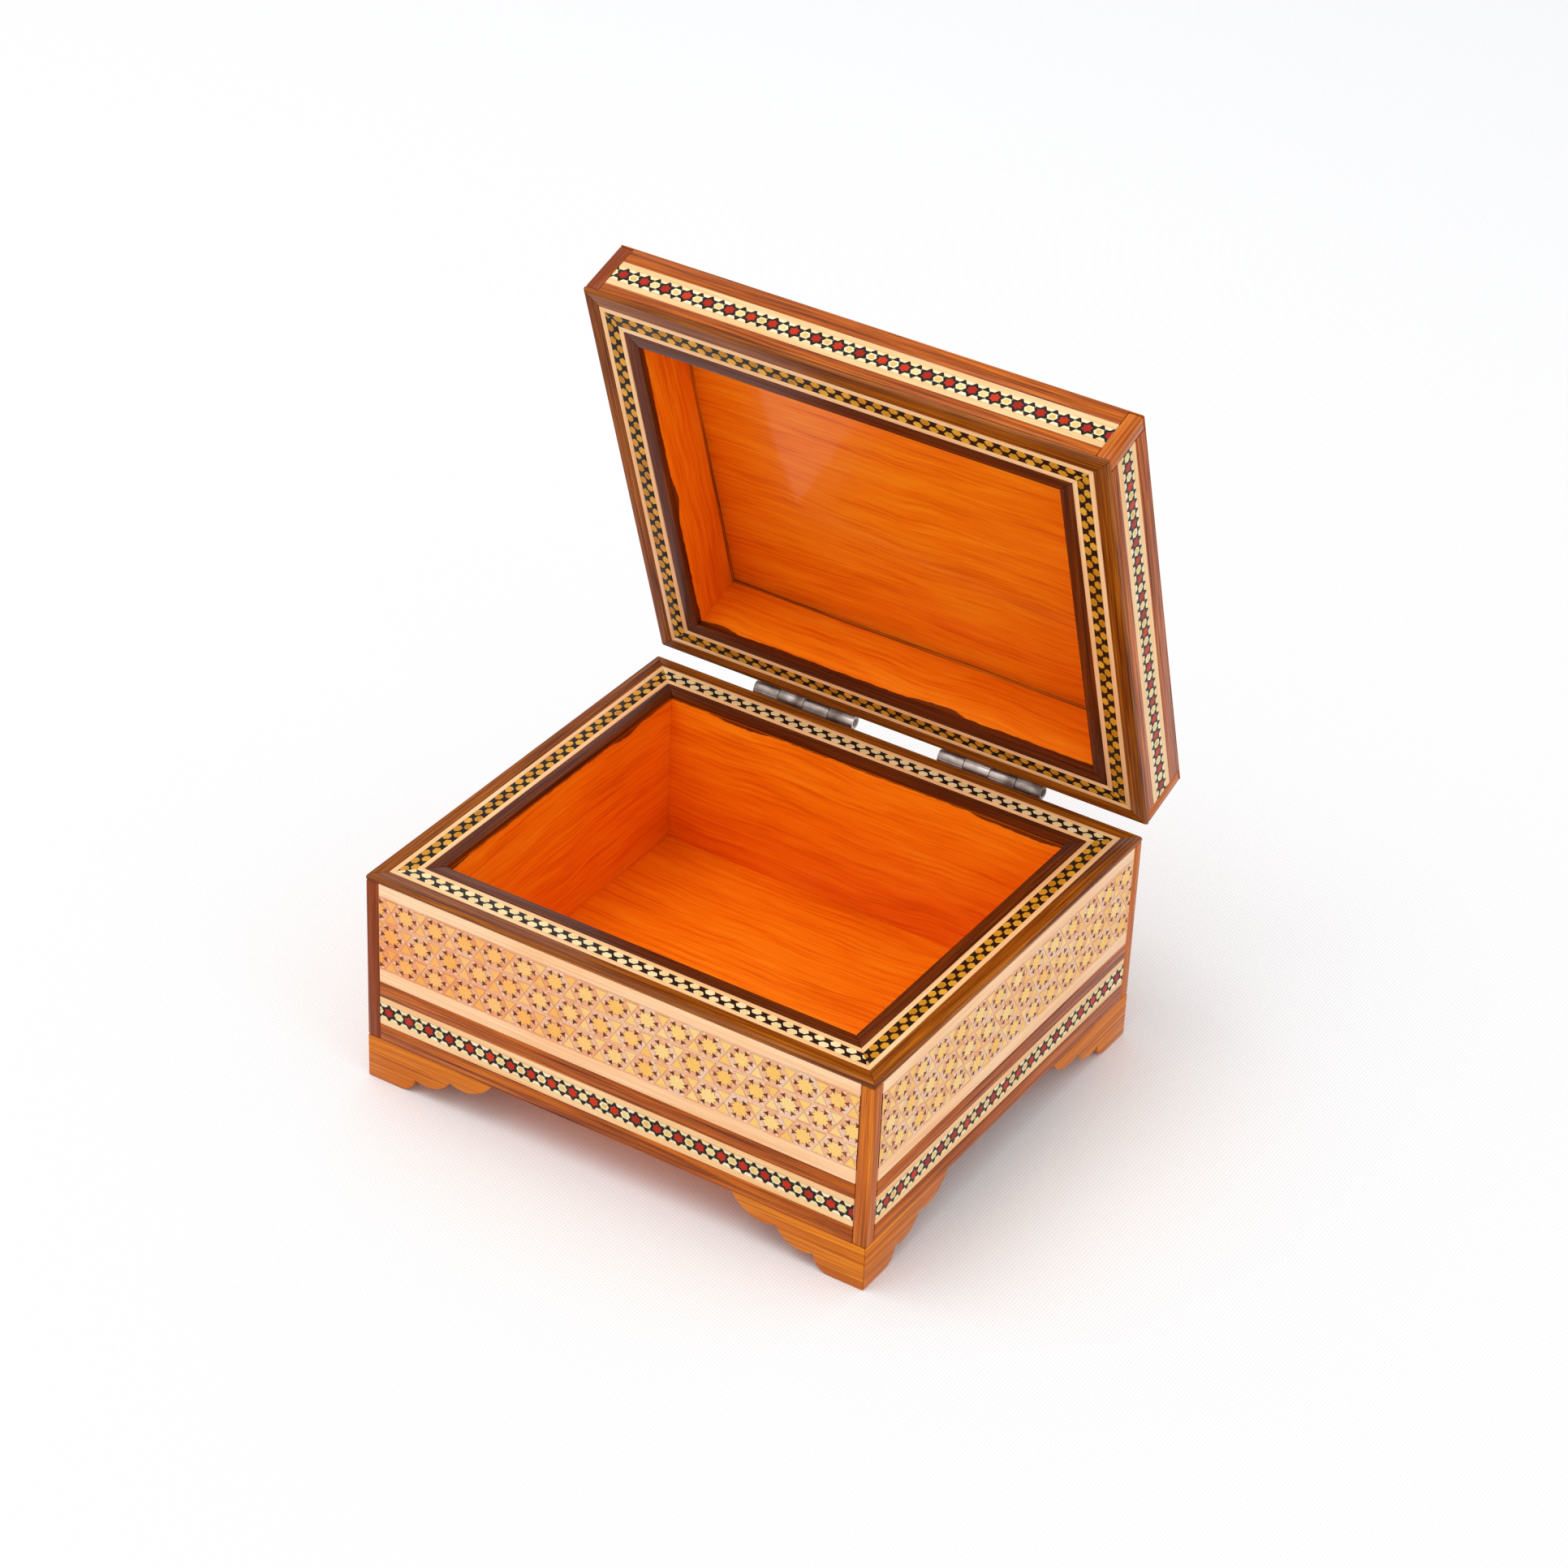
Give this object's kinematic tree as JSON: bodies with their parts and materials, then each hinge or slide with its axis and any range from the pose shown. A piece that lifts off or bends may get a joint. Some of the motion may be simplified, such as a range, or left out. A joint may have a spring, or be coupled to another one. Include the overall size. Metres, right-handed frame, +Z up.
{
  "type": "inlaid wooden box",
  "caption": "Small inlaid wooden box on bracket feet, with star, zigzag and rosette marquetry on its sides and rims and a hinged lid that stands open.",
  "frame": {"origin": "on the plane that the feet stand on, under the middle of the whole box with its lid resting open", "axes": "+X along the long side, -Y the front, +Y the hinge side, +Z up"},
  "size_m": [0.12, 0.119, 0.155],
  "materials": {
    "edging_wood": "gloss lacquer",
    "foot_wood": "gloss lacquer",
    "hinge_steel": "brushed",
    "lacquered_carcass": "gloss lacquer",
    "maple": "gloss lacquer",
    "rim_walnut": "gloss lacquer",
    "rosette_mosaic": "gloss lacquer",
    "screw_steel": "satin",
    "star_mosaic": "gloss lacquer",
    "stringing": "gloss lacquer",
    "walnut": "gloss lacquer",
    "zigzag_mosaic": "gloss lacquer"
  },
  "bodies": {
    "base": {"base_back_board": "lacquered_carcass", "base_corner_posts": "edging_wood", "base_floor": "lacquered_carcass", "base_front_board": "lacquered_carcass", "base_hinge_leaf_left": "hinge_steel", "base_hinge_leaf_right": "hinge_steel", "base_hinge_screws": "screw_steel", "base_left_board": "lacquered_carcass", "base_lower_maple_strips": "maple", "base_lower_stringing": "stringing", "base_lower_walnut_strips": "walnut", "base_middle_walnut_strips": "walnut", "base_right_board": "lacquered_carcass", "base_rim_inner_border": "rim_walnut", "base_rim_inner_stringing": "stringing", "base_rim_outer_border": "rim_walnut", "base_rim_outer_stringing": "stringing", "base_rim_zigzag": "zigzag_mosaic", "base_rosette_panels": "rosette_mosaic", "base_star_bands": "star_mosaic", "base_upper_maple_strips": "maple", "base_upper_stringing": "stringing", "foot_back_left": "foot_wood", "foot_back_right": "foot_wood", "foot_front_left": "foot_wood", "foot_front_right": "foot_wood", "foot_left_back": "foot_wood", "foot_left_front": "foot_wood", "foot_right_back": "foot_wood", "foot_right_front": "foot_wood", "hinge_pin_left": "hinge_steel", "hinge_pin_right": "hinge_steel"},
    "lid": {"lid_back_board": "lacquered_carcass", "lid_bevel_border": "rim_walnut", "lid_ceiling_panel": "lacquered_carcass", "lid_corner_posts": "edging_wood", "lid_edge_walnut_strips": "walnut", "lid_front_board": "lacquered_carcass", "lid_hinge_leaf_left": "hinge_steel", "lid_hinge_leaf_right": "hinge_steel", "lid_hinge_screws": "screw_steel", "lid_left_board": "lacquered_carcass", "lid_lower_stringing": "stringing", "lid_right_board": "lacquered_carcass", "lid_rim_inner_border": "rim_walnut", "lid_rim_inner_stringing": "stringing", "lid_rim_outer_border": "rim_walnut", "lid_rim_outer_stringing": "stringing", "lid_rim_zigzag": "zigzag_mosaic", "lid_star_bands": "star_mosaic", "lid_top_inner_stringing": "stringing", "lid_top_outer_stringing": "stringing", "lid_top_rosette_field": "rosette_mosaic", "lid_top_zigzag": "zigzag_mosaic", "lid_upper_stringing": "stringing", "lid_upper_walnut_strips": "walnut"}
  },
  "joints": [
    {"name": "lid_hinge", "type": "hinge", "parent": "base", "child": "lid", "pos_m": [0, 0.04612, 0.05008], "axis": [-1, 0, 0], "range_deg": [-72, 108]}
  ]
}
